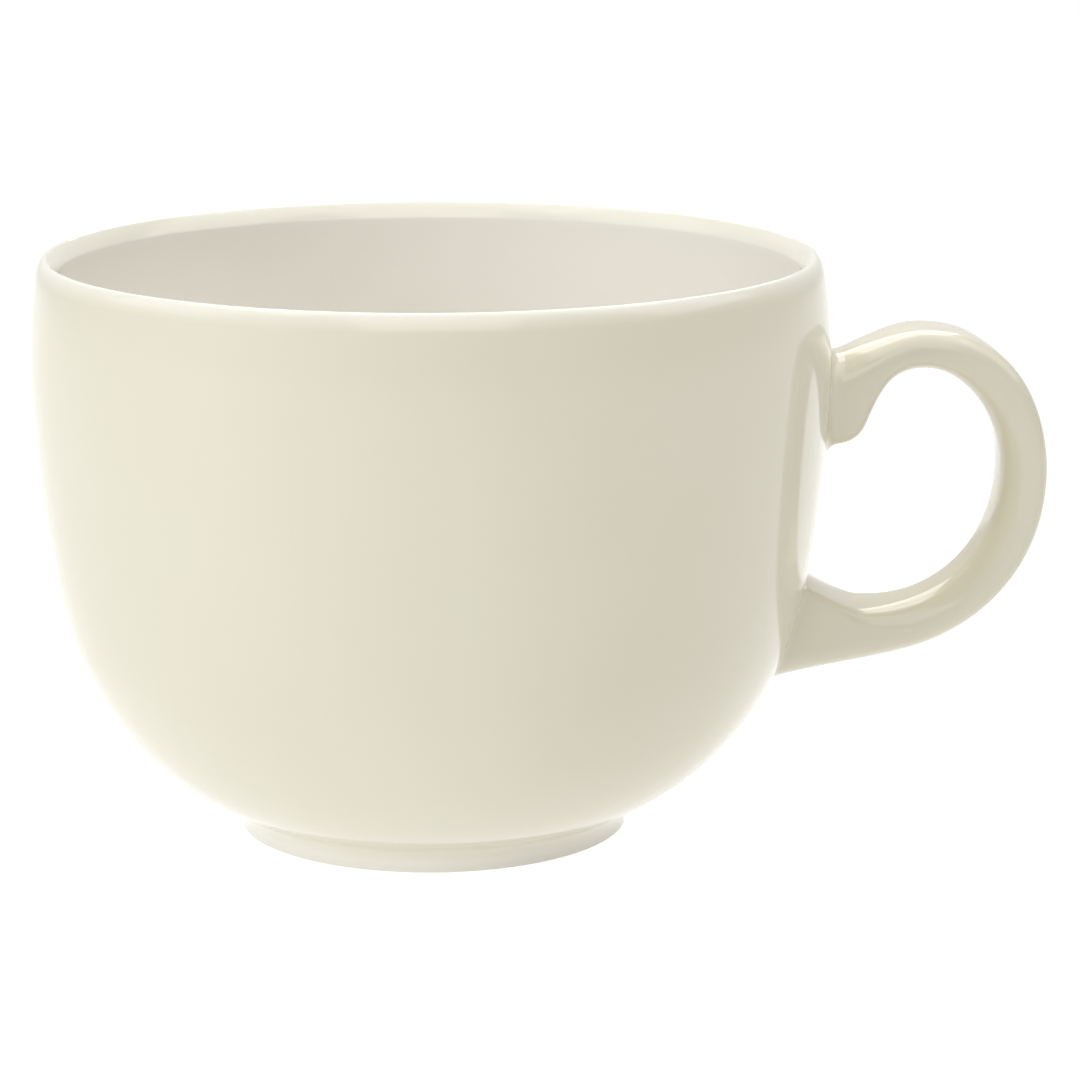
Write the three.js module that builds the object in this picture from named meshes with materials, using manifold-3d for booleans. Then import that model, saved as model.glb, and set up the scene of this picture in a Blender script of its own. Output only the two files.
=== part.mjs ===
// A round-bellied coffee mug of glazed ceramic: a turned bowl on a low foot ring, with a cast loop handle.
// The pieces are the ones that a potter makes apart and sticks together with slip, a layer of liquid clay.
// Millimetres, +Z up, the mug stands on z = 0 and its handle points along +X.

import * as THREE from "three";
import { mergeVertices } from "three/addons/utils/BufferGeometryUtils.js";
import Module from "manifold-3d";

const wasm = await Module();
wasm.setup();

// Bowl: heights are measured from the table, insets inwards from the widest part
const cupHeight = 80.5;
const widestDiameter = 110;
const widestHeight = 65;
const lipInset = 1.45;
const lipThickness = 2.8;
const lipOuterRounding = 0.7;
const lipInnerRounding = 1.3;
const lipLean = 12.2; // degrees that the wall leans inwards under the lip
const bellyInset = 5.55;
const bellyHeight = 26;
const bellyLean = 22.6; // degrees that the wall leans outwards at the belly
const undersideOverhang = 0.8; // how far the flat underside stands out over the foot ring
const undersideRise = 23.7; // degrees at which the wall leaves the flat underside
const wallThickness = 3.5;
const lipTaper = 16; // height over which the wall thins to the lip
const floorThickness = 5.2;
const wellDiameter = 38; // flat middle of the inside
const wellEdgeHeight = 13; // outside height at which the inner wall starts to round into the well

// Foot ring and the slip that it is stuck on with
const footHeight = 3.5; // from the table to the underside of the bowl
const footDiameter = 54;
const footRingWidth = 5.2;
const footOuterRounding = 0.9;
const footInnerRounding = 1.4;
const footSlipThickness = 0.5;
const footSlipInset = 0.5; // how far the slip stays back from the ring's two edges

// Handle: heights are measured from the table, reaches outwards from the widest part of the bowl
const handleWidth = 14.5;
const handleRounding = 2.2;
const handleReach = 29.9;
const gripHeight = 50;
const gripThickness = 6.1;
const crownHeight = 69.9;
const crownReach = 12.8;
const crownThickness = 5.3;
const upperRootDrop = 4; // from the crown down to where the top of the handle meets the wall
const upperRootRise = 21.3; // degrees at which the top of the handle leaves the wall
const lugHeight = 11.8; // of the upper root, along the wall
const lugReach = 4.8;
const lugDepth = 3; // height of the rounded corner under the lug
const lugRise = 68; // degrees at which the lug's edge runs up into the finger loop
const lowerRootTop = 34.2;
const lowerRootFlare = 24; // degrees at which the upper edge of the lower arm runs up to the wall
const lowerRootHeight = 13.3; // of the lower root, along the wall
const lowerRootRise = 15.5; // degrees at which the underside of the handle leaves the wall
const lowerArmDip = 3.4; // from the top of the lower root down to the hollow of the lower arm
const lowerArmReach = 4.8;
const elbowLift = 4.2; // from the bottom of the lower root up to where the grip's underside runs out
const elbowReach = 11;
const elbowRise = 15.4; // degrees at which the underside rises there
const handleSlipThickness = 0.6;

// Gap between each two neighbours that are stuck together
const seatClearance = 0.3;

// How far each outline curve follows the direction at its two ends, as a share of the line between them
const wallPull = {
  undersideOut: 0.44,
  bellyIn: 0.285,
  bellyOut: 0.24,
  widestIn: 0.215,
  widestOut: 0.24,
  lipIn: 0.385,
};
const outerPull = {
  rootOut: 0.35,
  crownIn: 0.29,
  crownOut: 0.52,
  gripIn: 0.285,
  gripOut: 0.38,
  elbowIn: 0.395,
  elbowOut: 0.33,
  rootIn: 0.33,
};
const innerPull = {
  lugOut: 0.46,
  lugIn: 0.4,
  loopOut: 0.49,
  crownIn: 0.41,
  crownOut: 0.29,
  gripIn: 0.43,
  gripOut: 0.405,
  armIn: 0.435,
  armOut: 0.2,
  rootIn: 0.4,
};

// Fineness of the faceted surfaces
const turnedSegments = 56;
const wallSteps = 7;
const handleSteps = 8;
const roundingSteps = 4;

const widestRadius = widestDiameter / 2;
const lipRadius = widestRadius - lipInset;
const bellyRadius = widestRadius - bellyInset;
const footOuterRadius = footDiameter / 2;
const footInnerRadius = footOuterRadius - footRingWidth;
const underside = footHeight;
const footSlipBottom = underside - seatClearance - footSlipThickness;
const footRingHeight = footSlipBottom - seatClearance;
const upperRootTop = crownHeight - upperRootDrop;
const lugBottom = upperRootTop - lugHeight;
const lowerRootBottom = lowerRootTop - lowerRootHeight;
const lowerArmTop = lowerRootTop - lowerArmDip;
const elbowHeight = lowerRootBottom + elbowLift;

// Edges are rounded no further than the thin stretches that carry them allow
const roundingShare = 0.45;
const footInnerEdge = Math.min(footInnerRounding, 2 * roundingShare * footRingHeight);
const footOuterEdge = Math.min(footOuterRounding, 2 * roundingShare * footRingHeight);

// The cast handle's ends run on into the bowl, past the rounding of their corners, before they are fitted
const rootRunOn = 4 * handleRounding;

// Points closer together than this are one point of a solid
const weldDistance = 1e-4;

// Unit direction in the outline's plane, in degrees from the outward direction towards +Z
function heading(degrees) {
  const angle = THREE.MathUtils.degToRad(degrees);
  return new THREE.Vector2(Math.cos(angle), Math.sin(angle));
}

// Smooth curve between two points, each with the heading in which the curve passes it
function smoothCurve(start, startHeading, startPull, end, endHeading, endPull) {
  const chord = start.distanceTo(end);
  const afterStart = start.clone().addScaledVector(heading(startHeading), startPull * chord);
  const beforeEnd = end.clone().addScaledVector(heading(endHeading), -endPull * chord);
  return new THREE.CubicBezierCurve(start, afterStart, beforeEnd, end);
}

// Points of curves that run on from each other, each shared end once
function runOn(curves, steps) {
  const points = curves[0].getPoints(steps);
  for (const curve of curves.slice(1)) points.push(...curve.getPoints(steps).slice(1));
  return points;
}

// Points of an arc around a centre, from one heading to another
function arcPoints(centre, radius, fromDegrees, toDegrees, steps) {
  const points = [];
  for (let step = 0; step <= steps; step += 1) {
    const degrees = THREE.MathUtils.lerp(fromDegrees, toDegrees, step / steps);
    points.push(centre.clone().addScaledVector(heading(degrees), radius));
  }
  return points;
}

// Each point of a wall moved square to the wall, outwards by the distance given for its height
function offsetWall(points, distanceAt) {
  return points.map((point, index) => {
    const before = points[Math.max(index - 1, 0)];
    const after = points[Math.min(index + 1, points.length - 1)];
    const along = after.clone().sub(before).normalize();
    const outwards = new THREE.Vector2(along.y, -along.x);
    return point.clone().addScaledVector(outwards, distanceAt(point.y));
  });
}

// Profile of radius and height turned about the Z axis
function turned(profile) {
  return new THREE.LatheGeometry(profile, turnedSegments).rotateX(Math.PI / 2);
}

// Closed solid for joining and cutting, from a geometry
function solidFrom(geometry) {
  const bare = geometry.clone();
  bare.deleteAttribute("normal");
  bare.deleteAttribute("uv");
  const merged = mergeVertices(bare, weldDistance);
  const mesh = new wasm.Mesh({
    numProp: 3,
    vertProperties: new Float32Array(merged.attributes.position.array),
    triVerts: new Uint32Array(merged.index.array),
  });
  return new wasm.Manifold(mesh);
}

// Geometry with flat facets, from a solid that was joined or cut
function geometryFrom(solid) {
  const mesh = solid.getMesh();
  const geometry = new THREE.BufferGeometry();
  geometry.setAttribute("position", new THREE.BufferAttribute(mesh.vertProperties, mesh.numProp));
  geometry.setIndex(new THREE.BufferAttribute(mesh.triVerts, 1));
  const faceted = geometry.toNonIndexed();
  faceted.computeVertexNormals();
  return faceted;
}

// Outside of the bowl, from the edge of its flat underside up to the lip
function outerWall() {
  const edge = new THREE.Vector2(footOuterRadius + undersideOverhang, underside);
  const belly = new THREE.Vector2(bellyRadius, bellyHeight);
  const widest = new THREE.Vector2(widestRadius, widestHeight);
  const lip = new THREE.Vector2(lipRadius, cupHeight - lipOuterRounding);
  const bellyHeading = 90 - bellyLean;
  const lipHeading = 90 + lipLean;
  const { undersideOut, bellyIn, bellyOut, widestIn, widestOut, lipIn } = wallPull;
  return runOn(
    [
      smoothCurve(edge, undersideRise, undersideOut, belly, bellyHeading, bellyIn),
      smoothCurve(belly, bellyHeading, bellyOut, widest, 90, widestIn),
      smoothCurve(widest, 90, widestOut, lip, lipHeading, lipIn),
    ],
    wallSteps,
  );
}

// Wall thickness at a height: full below, thinned to the lip above
function thicknessAt(height) {
  const lipStart = cupHeight - lipOuterRounding;
  const thinning = THREE.MathUtils.smoothstep(height, lipStart - lipTaper, lipStart);
  return THREE.MathUtils.lerp(wallThickness, lipThickness, thinning);
}

// Inside of the bowl, from the lip down to the middle of the well
function innerWall(outside) {
  const wall = outside.filter((point) => point.y > wellEdgeHeight);
  const inside = offsetWall(wall, (height) => -thicknessAt(height)).reverse();
  const last = inside[inside.length - 1];
  const before = inside[inside.length - 2];
  const floor = underside + floorThickness;
  const slope = (before.x - last.x) / (before.y - last.y);
  const corner = new THREE.Vector2(last.x - slope * (last.y - floor), floor);
  const flatEdge = new THREE.Vector2(wellDiameter / 2, floor);
  const well = new THREE.QuadraticBezierCurve(last, corner, flatEdge).getPoints(wallSteps);
  return [...inside, ...well.slice(1), new THREE.Vector2(0, floor)];
}

// Rounded lip, from the outside of the wall over its narrow flat top to the inside
function lipEdge() {
  const innerRadius = lipRadius - lipThickness;
  const outerCentre = new THREE.Vector2(lipRadius - lipOuterRounding, cupHeight - lipOuterRounding);
  const innerCentre = new THREE.Vector2(innerRadius + lipInnerRounding, cupHeight - lipInnerRounding);
  return [
    ...arcPoints(outerCentre, lipOuterRounding, 0, 90, roundingSteps),
    ...arcPoints(innerCentre, lipInnerRounding, 90, 180, roundingSteps),
  ];
}

function bowlGeometry() {
  const outside = outerWall();
  const lipBottom = cupHeight - lipInnerRounding;
  const inside = innerWall(outside).filter((point) => point.y < lipBottom);
  const bottom = new THREE.Vector2(0, underside);
  return turned([bottom, ...outside.slice(0, -1), ...lipEdge(), ...inside]);
}

// The bowl's outside as a filled solid, grown by a distance
function bowlEnvelope(growth) {
  const outside = offsetWall(outerWall(), () => growth);
  const top = new THREE.Vector2(0, outside[outside.length - 1].y);
  const bottom = new THREE.Vector2(0, outside[0].y);
  return solidFrom(turned([bottom, ...outside, top]));
}

// Foot ring: rounded at the table on both sides of its flat seat, and flat where the slip joins it
function footRingGeometry() {
  const outerCentre = new THREE.Vector2(footOuterRadius - footOuterEdge, footOuterEdge);
  const innerCentre = new THREE.Vector2(footInnerRadius + footInnerEdge, footInnerEdge);
  const profile = [
    ...arcPoints(innerCentre, footInnerEdge, 180, 270, roundingSteps),
    ...arcPoints(outerCentre, footOuterEdge, 270, 360, roundingSteps),
    new THREE.Vector2(footOuterRadius, footRingHeight),
    new THREE.Vector2(footInnerRadius, footRingHeight),
  ];
  return turned([...profile, profile[0]]);
}

function footSlipGeometry() {
  const outer = footOuterRadius - footSlipInset;
  const inner = footInnerRadius + footSlipInset;
  const top = footSlipBottom + footSlipThickness;
  const profile = [
    new THREE.Vector2(inner, footSlipBottom),
    new THREE.Vector2(outer, footSlipBottom),
    new THREE.Vector2(outer, top),
    new THREE.Vector2(inner, top),
  ];
  return turned([...profile, profile[0]]);
}

// Point on the outside of the bowl at a height
function wallPoint(height) {
  const wall = outerWall();
  const above = wall.findIndex((point) => point.y >= height);
  const [lower, upper] = [wall[above - 1], wall[above]];
  return lower.clone().lerp(upper, (height - lower.y) / (upper.y - lower.y));
}

// The same point carried on into the wall, against the heading in which the handle leaves it
function insideWall(height, outwardHeading) {
  return wallPoint(height).addScaledVector(heading(outwardHeading), -rootRunOn);
}

// Outer edge of the handle, from the upper root over the crown and round the grip to the lower root
function handleOuterEdge() {
  const upperRoot = wallPoint(upperRootTop);
  const crown = new THREE.Vector2(widestRadius + crownReach, crownHeight);
  const grip = new THREE.Vector2(widestRadius + handleReach, gripHeight);
  const lowerRoot = wallPoint(lowerRootBottom);
  const elbow = new THREE.Vector2(widestRadius + elbowReach, elbowHeight);
  const { rootOut, crownIn, crownOut, gripIn, gripOut, elbowIn, elbowOut, rootIn } = outerPull;
  return runOn(
    [
      smoothCurve(upperRoot, upperRootRise, rootOut, crown, 0, crownIn),
      smoothCurve(crown, 0, crownOut, grip, -90, gripIn),
      smoothCurve(grip, -90, gripOut, elbow, 180 + elbowRise, elbowIn),
      smoothCurve(elbow, 180 + elbowRise, elbowOut, lowerRoot, 180 + lowerRootRise, rootIn),
    ],
    handleSteps,
  );
}

// Inner edge of the handle, from under the lug round the finger loop to the top of the lower root
function handleInnerEdge() {
  const lugStart = wallPoint(lugBottom);
  const lugEnd = new THREE.Vector2(widestRadius + lugReach, lugBottom + lugDepth);
  const crown = new THREE.Vector2(widestRadius + crownReach, crownHeight - crownThickness);
  const grip = new THREE.Vector2(widestRadius + handleReach - gripThickness, gripHeight);
  const arm = new THREE.Vector2(widestRadius + lowerArmReach, lowerArmTop);
  const lowerRoot = wallPoint(lowerRootTop);
  const { lugOut, lugIn, loopOut, crownIn, crownOut, gripIn, gripOut, armIn, armOut, rootIn } = innerPull;
  return runOn(
    [
      smoothCurve(lugStart, 0, lugOut, lugEnd, lugRise, lugIn),
      smoothCurve(lugEnd, lugRise, loopOut, crown, 0, crownIn),
      smoothCurve(crown, 0, crownOut, grip, -90, gripIn),
      smoothCurve(grip, -90, gripOut, arm, 180, armIn),
      smoothCurve(arm, 180, armOut, lowerRoot, 180 - lowerRootFlare, rootIn),
    ],
    handleSteps,
  );
}

// Least distance across the strap between its two edges
function thinnestStrap(outerEdge, innerEdge) {
  return Math.min(...innerEdge.flatMap((point) => outerEdge.map((other) => point.distanceTo(other))));
}

// Handle before it is fitted: its side outline as a rounded strap whose ends run on into the bowl
function handleBlank() {
  const outerEdge = handleOuterEdge();
  const innerEdge = handleInnerEdge();
  const strapRounding = Math.min(handleRounding, roundingShare * thinnestStrap(outerEdge, innerEdge));
  const outline = [
    insideWall(upperRootTop, upperRootRise),
    ...outerEdge,
    insideWall(lowerRootBottom, lowerRootRise),
    insideWall(lowerRootTop, -lowerRootFlare),
    ...innerEdge.reverse(),
    insideWall(lugBottom, 0),
  ];
  const strap = new THREE.ExtrudeGeometry(new THREE.Shape(outline), {
    depth: handleWidth - 2 * strapRounding,
    bevelEnabled: true,
    bevelSize: strapRounding,
    bevelThickness: strapRounding,
    bevelOffset: -strapRounding,
    bevelSegments: roundingSteps,
  });
  strap.rotateX(Math.PI / 2);
  strap.translate(0, handleWidth / 2 - strapRounding, 0);
  return solidFrom(strap);
}

// Handle and its two slip layers, all cut to the curve of the bowl
function handlePieces() {
  const blank = handleBlank();
  const slipInside = bowlEnvelope(seatClearance);
  const slipOutside = bowlEnvelope(seatClearance + handleSlipThickness);
  const seat = bowlEnvelope(2 * seatClearance + handleSlipThickness);
  const slip = blank.intersect(slipOutside).subtract(slipInside);
  const middle = (lugBottom + lowerRootTop) / 2;
  const upperHalf = new THREE.BoxGeometry(widestDiameter * 2, widestDiameter * 2, cupHeight);
  upperHalf.translate(0, 0, middle + cupHeight / 2);
  const upperSpace = solidFrom(upperHalf);
  return {
    handle: geometryFrom(blank.subtract(seat)),
    upperSlip: geometryFrom(slip.intersect(upperSpace)),
    lowerSlip: geometryFrom(slip.subtract(upperSpace)),
  };
}

// Cream glaze on the fired clay, and the bare clay of the slip
function creamGlaze() {
  return new THREE.MeshStandardMaterial({ color: 0xe9e5d6, roughness: 0.12, metalness: 0 });
}

function bareClay() {
  return new THREE.MeshStandardMaterial({ color: 0xe3dccb, roughness: 0.75, metalness: 0 });
}

function piece(name, geometry, material) {
  const mesh = new THREE.Mesh(geometry, material);
  mesh.name = name;
  return mesh;
}

const { handle, upperSlip, lowerSlip } = handlePieces();

// The bowl's axis stands back from the origin, so that the origin is under the middle of the whole mug
const pieces = new THREE.Group();
pieces.position.x = -handleReach / 2;
pieces.add(
  piece("bowl", bowlGeometry(), creamGlaze()),
  piece("foot_ring", footRingGeometry(), creamGlaze()),
  piece("foot_slip", footSlipGeometry(), bareClay()),
  piece("handle", handle, creamGlaze()),
  piece("upper_handle_slip", upperSlip, bareClay()),
  piece("lower_handle_slip", lowerSlip, bareClay()),
);

const mug = new THREE.Group();
mug.name = "coffee_mug";
mug.add(pieces);

export default mug;
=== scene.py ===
"""Cream-glazed coffee mug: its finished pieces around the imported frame, on a plain studio stage."""

from math import cos, pi, radians, sin, tan, tau
from typing import NamedTuple

import bmesh
import bpy
from bpy.props import FloatProperty, FloatVectorProperty, PointerProperty
from bpy.types import Operator, Panel, PropertyGroup
from mathutils import Matrix, Vector
from mathutils.geometry import interpolate_bezier


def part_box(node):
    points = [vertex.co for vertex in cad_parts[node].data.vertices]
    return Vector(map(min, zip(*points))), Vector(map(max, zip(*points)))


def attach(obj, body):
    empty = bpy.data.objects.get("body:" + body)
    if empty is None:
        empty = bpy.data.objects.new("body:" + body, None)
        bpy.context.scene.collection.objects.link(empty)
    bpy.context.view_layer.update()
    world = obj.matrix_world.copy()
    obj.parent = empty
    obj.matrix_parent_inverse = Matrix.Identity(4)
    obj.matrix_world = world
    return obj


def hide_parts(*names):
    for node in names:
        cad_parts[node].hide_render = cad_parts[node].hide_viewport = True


bl_info = {
    "name": "Glazed Coffee Mug",
    "version": (1, 0, 0),
    "blender": (4, 5, 0),
    "location": "View3D > Sidebar > Mug",
    "description": "Models a round-bellied glazed mug and sets it on a studio stage",
    "category": "Object",
}

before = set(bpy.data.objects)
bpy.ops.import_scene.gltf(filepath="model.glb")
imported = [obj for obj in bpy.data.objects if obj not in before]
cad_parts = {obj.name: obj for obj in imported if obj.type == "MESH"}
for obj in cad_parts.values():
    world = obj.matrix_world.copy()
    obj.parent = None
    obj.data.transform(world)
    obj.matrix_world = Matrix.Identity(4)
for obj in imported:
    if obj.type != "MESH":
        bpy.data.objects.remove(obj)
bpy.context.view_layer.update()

MM = 0.001
UP = Vector((0, 0, 1))
ACROSS = Vector((0, 1, 0))

# Places of the fixed frame that the finished pieces follow
BOWL_LOW, BOWL_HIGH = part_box("bowl")
RING_LOW, RING_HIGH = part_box("foot_ring")
HANDLE_LOW, HANDLE_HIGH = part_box("handle")
AXIS_X = (BOWL_LOW.x + BOWL_HIGH.x) / 2
WIDEST_RADIUS = (BOWL_HIGH.x - BOWL_LOW.x) / 2
RING_RADIUS = (RING_HIGH.x - RING_LOW.x) / 2
HANDLE_REACH = HANDLE_HIGH.x - BOWL_HIGH.x
HANDLE_WIDTH = HANDLE_HIGH.y - HANDLE_LOW.y

# Points closer together than this become one
WELD = 1e-6

# Edges that bend more than this stay crisp
LIP_CREASE = radians(20)
EDGE_CREASE = radians(40)

# How finely the shapes are divided
WALL_STEPS = 20
FINE_WALL_STEPS = 80
WELL_STEPS = 23
LIP_STEPS = 14
FOOT_EDGE_STEPS = 8
FILLET_STEPS = 10
STRAP_EDGE_STEPS = 40
STRETCH_STEPS = [26, 28, 44]
SECTION_POINTS = 48
BOWL_SEGMENTS = 176
FOOT_SEGMENTS = 160

# Directions of an outline, as angles from outwards towards up
OUTWARDS = 0
UPWARDS = pi / 2
DOWNWARDS = -pi / 2
BACKWARDS = pi

# How far a rounded corner swells towards its tip: an arc, a parabola, a fillet and nearly a flat bevel
ROUND = 0.56
PARABOLA = 2 / 3
HOLLOW = 0.6
BEVEL = 0.16


def length(name, description, metres):
    """A length that the user may change, in metres."""
    return FloatProperty(name=name, description=description, default=metres, precision=5, unit="LENGTH")


def slope(name, description, degrees):
    """An angle that the user may change, given in degrees."""
    return FloatProperty(name=name, description=description, default=radians(degrees), subtype="ANGLE")


def share(name, description, value):
    """A share from nothing to all."""
    return FloatProperty(name=name, description=description, default=value, min=0, max=1, subtype="FACTOR")


def section(name, *millimetres):
    """Rounding of the strap: depth and width at its inner edge, then at its outer edge."""
    return FloatVectorProperty(
        name=name,
        description="Depth and width of the strap's rounding at its inner edge, then at its outer edge",
        default=[value * MM for value in millimetres],
        size=4,
        precision=5,
        unit="LENGTH",
    )


def colour(name, description, value):
    """A colour in linear red, green and blue."""
    return FloatVectorProperty(
        name=name, description=description, default=value, size=3, min=0, max=1, subtype="COLOR"
    )


def power(name, description, watts):
    """Power of a lamp."""
    return FloatProperty(name=name, description=description, default=watts, min=0, unit="POWER")


def light(name, description, strength):
    """Strength of a light, where 1 is white."""
    return FloatProperty(name=name, description=description, default=strength, min=0)


class MugBowlSizes(PropertyGroup):
    """Bowl, with heights from the table and insets from its widest part."""

    height: length("Height", "Table to the top of the lip", BOWL_HIGH.z)
    underside: length("Underside", "Table to the flat underside of the bowl", BOWL_LOW.z)
    widest_radius: length("Widest radius", "Outside radius at the widest part", WIDEST_RADIUS)
    widest_height: length("Widest height", "Table to the widest part", 65 * MM)
    belly_inset: length("Belly inset", "How far the belly stands back from the widest part", 5.55 * MM)
    belly_height: length("Belly height", "Table to where the belly is measured", 26 * MM)
    belly_lean: slope("Belly lean", "How far the wall leans outwards at the belly", 22.6)
    overhang: length("Overhang", "How far the flat underside stands out over the foot ring", 0.8 * MM)
    underside_rise: slope("Underside rise", "Angle at which the wall leaves the underside", 23.7)
    lip_inset: length("Lip inset", "How far the lip stands back from the widest part", 1.45 * MM)
    lip_lean: slope("Lip lean", "How far the wall leans inwards under the lip", 12.2)
    lip_thickness: length("Lip thickness", "Thickness of the wall at the lip", 3.2 * MM)
    lip_outer_width: length("Lip outer width", "Width of the lip's rounded outer edge", 1.1 * MM)
    lip_outer_height: length("Lip outer height", "Height of the lip's rounded outer edge", 2.2 * MM)
    lip_inner_width: length("Lip inner width", "Width of the lip's bevelled inner edge", 2.0 * MM)
    lip_inner_height: length("Lip inner height", "Height of the lip's bevelled inner edge", 1.9 * MM)
    wall_thickness: length("Wall thickness", "Thickness of the wall below the lip", 3.5 * MM)
    lip_taper: length("Lip taper", "Height over which the wall thins to the lip", 16 * MM)
    floor_thickness: length("Floor thickness", "Thickness of the floor of the bowl", 5.2 * MM)
    well_radius: length("Well radius", "Radius of the flat middle of the inside", 19 * MM)
    well_edge: length("Well edge", "Outside height where the inner wall starts to round", 13 * MM)


class MugFootSizes(PropertyGroup):
    """Foot ring that the mug stands on."""

    radius: length("Radius", "Outside radius of the foot ring", RING_RADIUS)
    width: length("Width", "Width of the foot ring", 5.2 * MM)
    outer_rounding: length("Outer rounding", "Radius of the outer edge at the table", 0.9 * MM)
    inner_rounding: length("Inner rounding", "Radius of the inner edge at the table", 1.4 * MM)
    sink: length("Sink", "How far the ring runs on into the underside", 0.5 * MM)
    outer_fillet: length("Outer fillet", "Reach of the slip in the crease outside the ring", 2.2 * MM)
    inner_fillet: length("Inner fillet", "Reach of the slip in the crease inside the ring", 0.9 * MM)


class MugHandleSizes(PropertyGroup):
    """Handle, with heights from the table and reaches from the bowl's widest part."""

    width: length("Width", "Width of the strap", HANDLE_WIDTH)
    reach: length("Reach", "Bowl to the outside of the grip", HANDLE_REACH)
    grip_height: length("Grip height", "Table to the grip's furthest point", 50 * MM)
    grip_thickness: length("Grip thickness", "Thickness of the strap at the grip", 6.1 * MM)
    crown_height: length("Crown height", "Table to the top of the handle", HANDLE_HIGH.z)
    crown_reach: length("Crown reach", "Bowl to the top of the handle", 12.8 * MM)
    crown_thickness: length("Crown thickness", "Thickness of the strap at its top", 5.3 * MM)
    upper_root_drop: length("Upper root drop", "Crown down to the top of the upper root", 4 * MM)
    upper_root_rise: slope("Upper root rise", "Angle at which the top leaves the wall", 21.3)
    lug_height: length("Lug height", "Height of the upper root along the wall", 11.8 * MM)
    lug_reach: length("Lug reach", "Bowl to the outside of the lug", 4.8 * MM)
    lug_depth: length("Lug depth", "Height of the rounded corner under the lug", 3 * MM)
    lug_rise: slope("Lug rise", "Angle at which the lug runs up into the loop", 68)
    lower_root_top: length("Lower root top", "Table to the top of the lower root", 34.2 * MM)
    lower_root_flare: slope("Lower root flare", "Angle of the arm's upper edge at the wall", 24)
    lower_root_height: length("Lower root height", "Height of the lower root", 13.3 * MM)
    lower_root_rise: slope("Lower root rise", "Angle at which the underside leaves the wall", 15.5)
    arm_dip: length("Arm dip", "Top of the lower root down to the hollow of the arm", 3.4 * MM)
    arm_reach: length("Arm reach", "Bowl to the hollow of the arm", 4.8 * MM)
    elbow_lift: length("Elbow lift", "Bottom of the lower root up to the elbow", 4.2 * MM)
    elbow_reach: length("Elbow reach", "Bowl to the elbow", 11 * MM)
    elbow_rise: slope("Elbow rise", "Angle at which the underside rises at the elbow", 15.4)
    root_depth: length("Root depth", "How far the handle's ends run on into the wall", 1.8 * MM)
    upper_fillet: length("Upper fillet", "Reach of the slip smoothed round the upper root", 2.0 * MM)
    lower_fillet: length("Lower fillet", "Reach of the slip smoothed round the lower root", 1.0 * MM)
    root_section: section("Upper root section", 6.5, 2.6, 4.0, 6.0)
    crown_section: section("Crown section", 2.6, 3.4, 2.65, 3.4)
    grip_section: section("Grip section", 4.2, 5.4, 1.7, 2.0)
    arm_section: section("Arm section", 3.4, 5.0, 2.6, 3.0)
    lower_section: section("Lower root section", 0.8, 0.8, 4.3, 3.6)


class MugGlazeLook(PropertyGroup):
    """Colours of the glaze and the bare clay, with painted light on the lip and foot and painted shade on
    the handle.
    """

    cream: colour("Cream", "Colour of the glaze", (0.80, 0.765, 0.630))
    thick: colour("Thick glaze", "Colour where the glaze lies thicker", (0.78, 0.74, 0.595))
    # The handle's two colours are darker than the cream as painted shade, where the bowl keeps the key
    # lamp off the handle
    handle: colour("Handle", "Colour of the thicker glaze on the handle", (0.765, 0.728, 0.592))
    handle_thick: colour("Thick handle", "Colour of the handle's thickest glaze", (0.745, 0.705, 0.56))
    liner: colour("Liner", "Colour of the glaze inside", (0.915, 0.895, 0.840))
    liner_thick: colour("Thick liner", "Colour inside where the glaze lies thicker", (0.90, 0.879, 0.82))
    # The foot's paler, whiter colour is painted light from the glowing table close below it
    foot: colour("Foot", "Colour of the thin glaze on the foot ring", (0.90, 0.872, 0.775))
    # The lip's paler colour is painted light: it stands in for the light that the rim's top and bevel
    # catch from the lamps above
    lip: colour("Lip", "Colour of the thin glaze over the lip", (0.89, 0.868, 0.765))
    clay: colour("Clay", "Colour of the bare clay of the seat", (0.74, 0.68, 0.56))
    clay_speck: colour("Clay specks", "Colour of the darker grains in the bare clay", (0.60, 0.53, 0.41))
    gloss: share("Roughness", "Roughness of the glaze where it is smoothest", 0.07)
    glaze_line: length("Glaze line", "Height above the table where the glaze ends", 0.12 * MM)
    # Below this height the glaze keeps its own colour; above it the lip's painted light comes in
    lip_line: length("Lip line", "Height above the table where the glaze starts to thin", 78.2 * MM)


class MugStage(PropertyGroup):
    """Camera, lamps and background."""

    lens: FloatProperty(name="Lens", description="Focal length", default=126.3, unit="CAMERA")
    camera_distance: length("Camera distance", "Bowl's axis to the camera, along the table", 514.9 * MM)
    camera_height: length("Camera height", "Table to the camera", 155.4 * MM)
    camera_swing: slope("Camera swing", "How far the camera stands round to the left", 0.7)
    camera_yaw: slope("Camera yaw", "How far the camera looks to the right of the axis", 1.668)
    camera_pitch: slope("Camera pitch", "How far the camera looks down", 12.63)
    ambient: light("Ambient", "Strength of the room's own light", 0.0)
    key_power: power("Key lamp", "Power of the panel low at the left", 7.1)
    top_power: power("Top lamp", "Power of the panel above", 5.7)
    left_power: power("Left lamp", "Power of the panel at the upper left", 2.1)
    front_power: power("Front lamp", "Power of the panel above the camera", 3.4)
    back_power: power("Back lamp", "Power of the panel at the upper back", 5.1)
    right_power: power("Right lamp", "Power of the panel at the upper right", 3.1)
    daylight: colour("Daylight", "Colour of the key lamp", (0.94, 0.97, 1.0))
    lamplight: colour("Lamplight", "Colour of the other lamps", (1.0, 0.99, 0.975))
    floor: colour("Floor", "Colour of the table", (0.35, 0.35, 0.35))
    floor_glow: light("Floor glow", "Light that the lit table throws on the mug", 0.66)
    floor_white: light("Floor white", "Glow of the table as the eye sees it", 0.94)


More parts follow.
